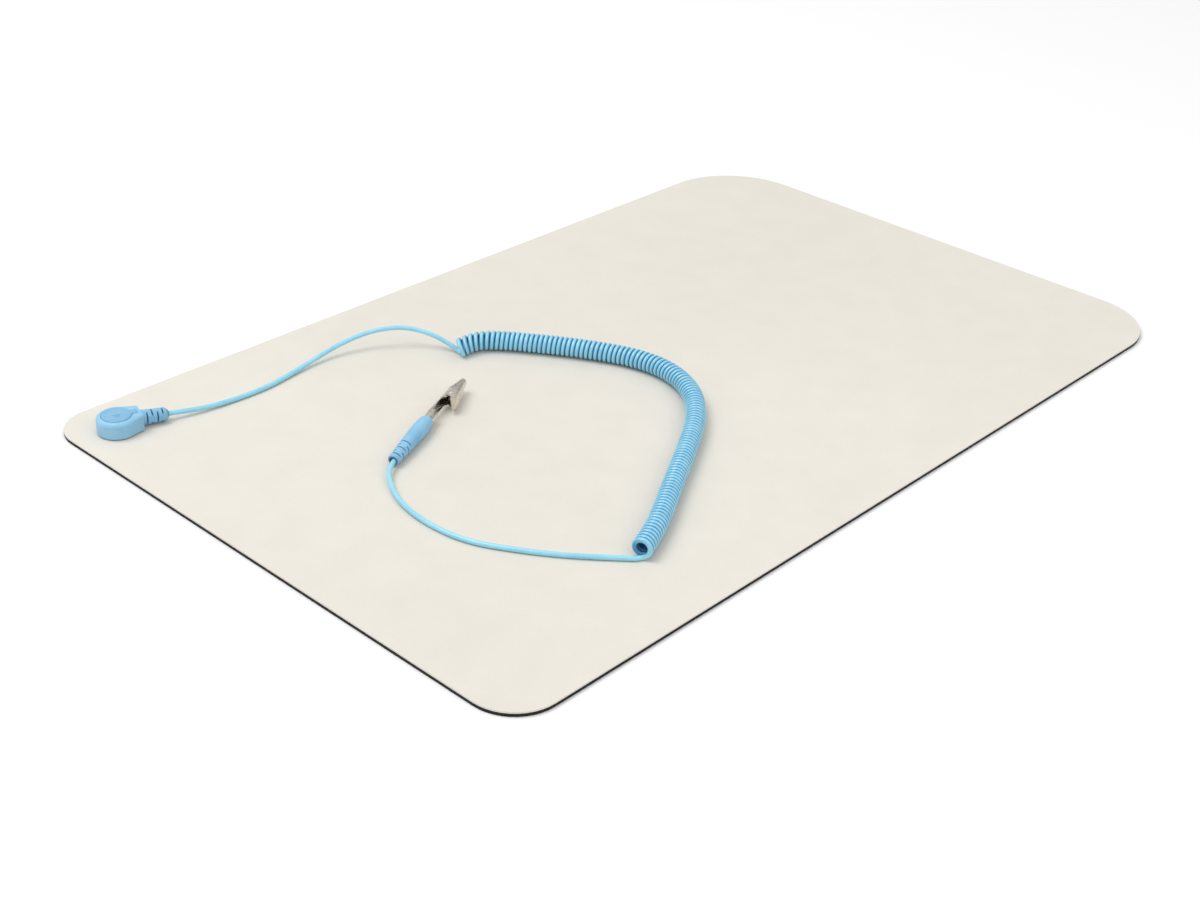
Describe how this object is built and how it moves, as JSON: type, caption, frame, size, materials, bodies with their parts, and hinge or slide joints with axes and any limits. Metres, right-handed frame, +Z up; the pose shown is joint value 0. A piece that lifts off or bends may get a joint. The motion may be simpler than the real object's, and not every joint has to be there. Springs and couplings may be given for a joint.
{
  "type": "anti-static desk mat with coiled grounding cord",
  "caption": "Flat two-layer anti-static desk mat with rounded corners, a grounding cord on a press stud with a coiled middle, and an alligator clip on a banana plug at its end.",
  "frame": {"origin": "middle of the mat's underside", "axes": "+X along the mat's long side, +Y along its short side towards the edge nearer the snap head, +Z up"},
  "size_m": [0.45, 0.28, 0.0124],
  "materials": {
    "mat_top": "matte vinyl-faced rubber, fine stipple",
    "mat_bottom": "matte conductive rubber",
    "blue_plastic": "satin flexible PVC",
    "blue_cord": "satin polyurethane jacket",
    "nickel": "nickel plated steel",
    "spring_steel": "bright spring wire",
    "brass": "plain brass",
    "copper": "bare stranded copper",
    "tinned_wire": "tinned copper wire",
    "resistor_body": "lacquered"
  },
  "bodies": {
    "mat": {"mat_bottom_layer": "mat_bottom", "mat_top_layer": "mat_top", "snap_stud": "nickel", "stud_rivet": "nickel"},
    "snap_grip": {"socket_spring": "spring_steel"},
    "snap_head": {"snap_head_shell": "blue_plastic", "snap_head_cover": "blue_plastic", "snap_socket": "nickel", "resistor": "resistor_body", "resistor_lead_socket": "tinned_wire", "resistor_lead_cord": "tinned_wire", "cord_ferrule": "brass", "conductor_snap_end": "copper", "strain_relief": "blue_plastic", "cord_lead_snap": "blue_cord", "cord_coil": "blue_cord", "cord_lead_clip": "blue_cord", "plug_boot": "blue_plastic", "banana_pin": "nickel", "banana_cage": "brass", "conductor_clip_end": "copper"},
    "clip_frame": {"clip_jaw_fixed": "nickel", "clip_pivot_pin": "nickel", "clip_spring": "spring_steel"},
    "clip_jaw": {"clip_jaw_moving": "nickel"}
  },
  "joints": [
    {"name": "snap_release", "type": "slide", "parent": "mat", "child": "snap_grip", "axis": [0, 0, 1], "range_m": [0, 0.006]},
    {"name": "snap_swivel", "type": "hinge", "parent": "snap_grip", "child": "snap_head", "pos_m": [-0.2066, 0.1158, 0.0037], "axis": [0, 0, 1], "continuous": true},
    {"name": "clip_pull", "type": "slide", "parent": "snap_head", "child": "clip_frame", "axis": [0.912, 0.4098, 0.0192], "range_m": [0, 0.016]},
    {"name": "jaw_open", "type": "hinge", "parent": "clip_frame", "child": "clip_jaw", "pos_m": [-0.0901, 0.03553, 0.00665], "axis": [0.0673, -0.1033, -0.9924], "range_deg": [0, 25], "stiffness_Nm_per_rad": 0.05, "springref_deg": -34.38, "deforming": ["clip_spring"]}
  ]
}
